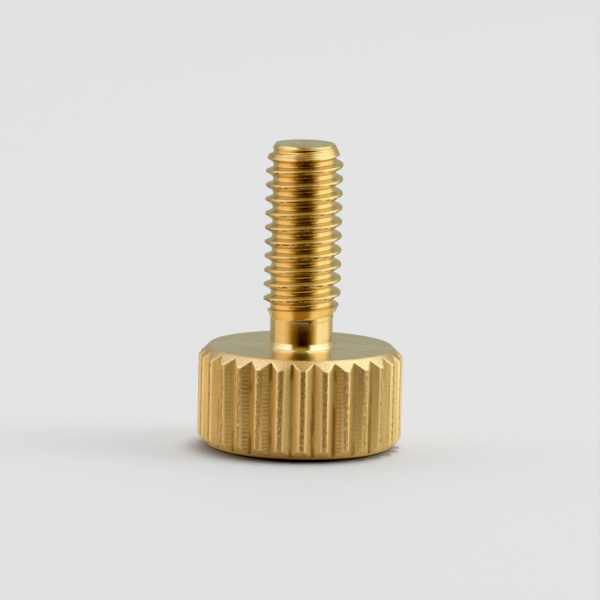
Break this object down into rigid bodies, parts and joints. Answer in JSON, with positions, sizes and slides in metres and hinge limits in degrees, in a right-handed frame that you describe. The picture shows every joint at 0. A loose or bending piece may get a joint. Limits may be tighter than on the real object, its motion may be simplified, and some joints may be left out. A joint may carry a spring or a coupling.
{
  "type": "thumb screw",
  "caption": "Knurled brass thumb screw: a chamfered round head with straight grooves for the fingers, a plain neck and a short metric thread.",
  "frame": {"origin": "centre of the head's outer flat face, on which the screw stands", "axes": "+Z along the screw's axis, from the head to the tip; +X and +Y are two radial directions, square to each other"},
  "size_m": [0.01, 0.01, 0.015],
  "materials": {
    "brass": "turned and polished"
  },
  "bodies": {
    "root": {"thumb_screw": "brass"}
  },
  "joints": []
}
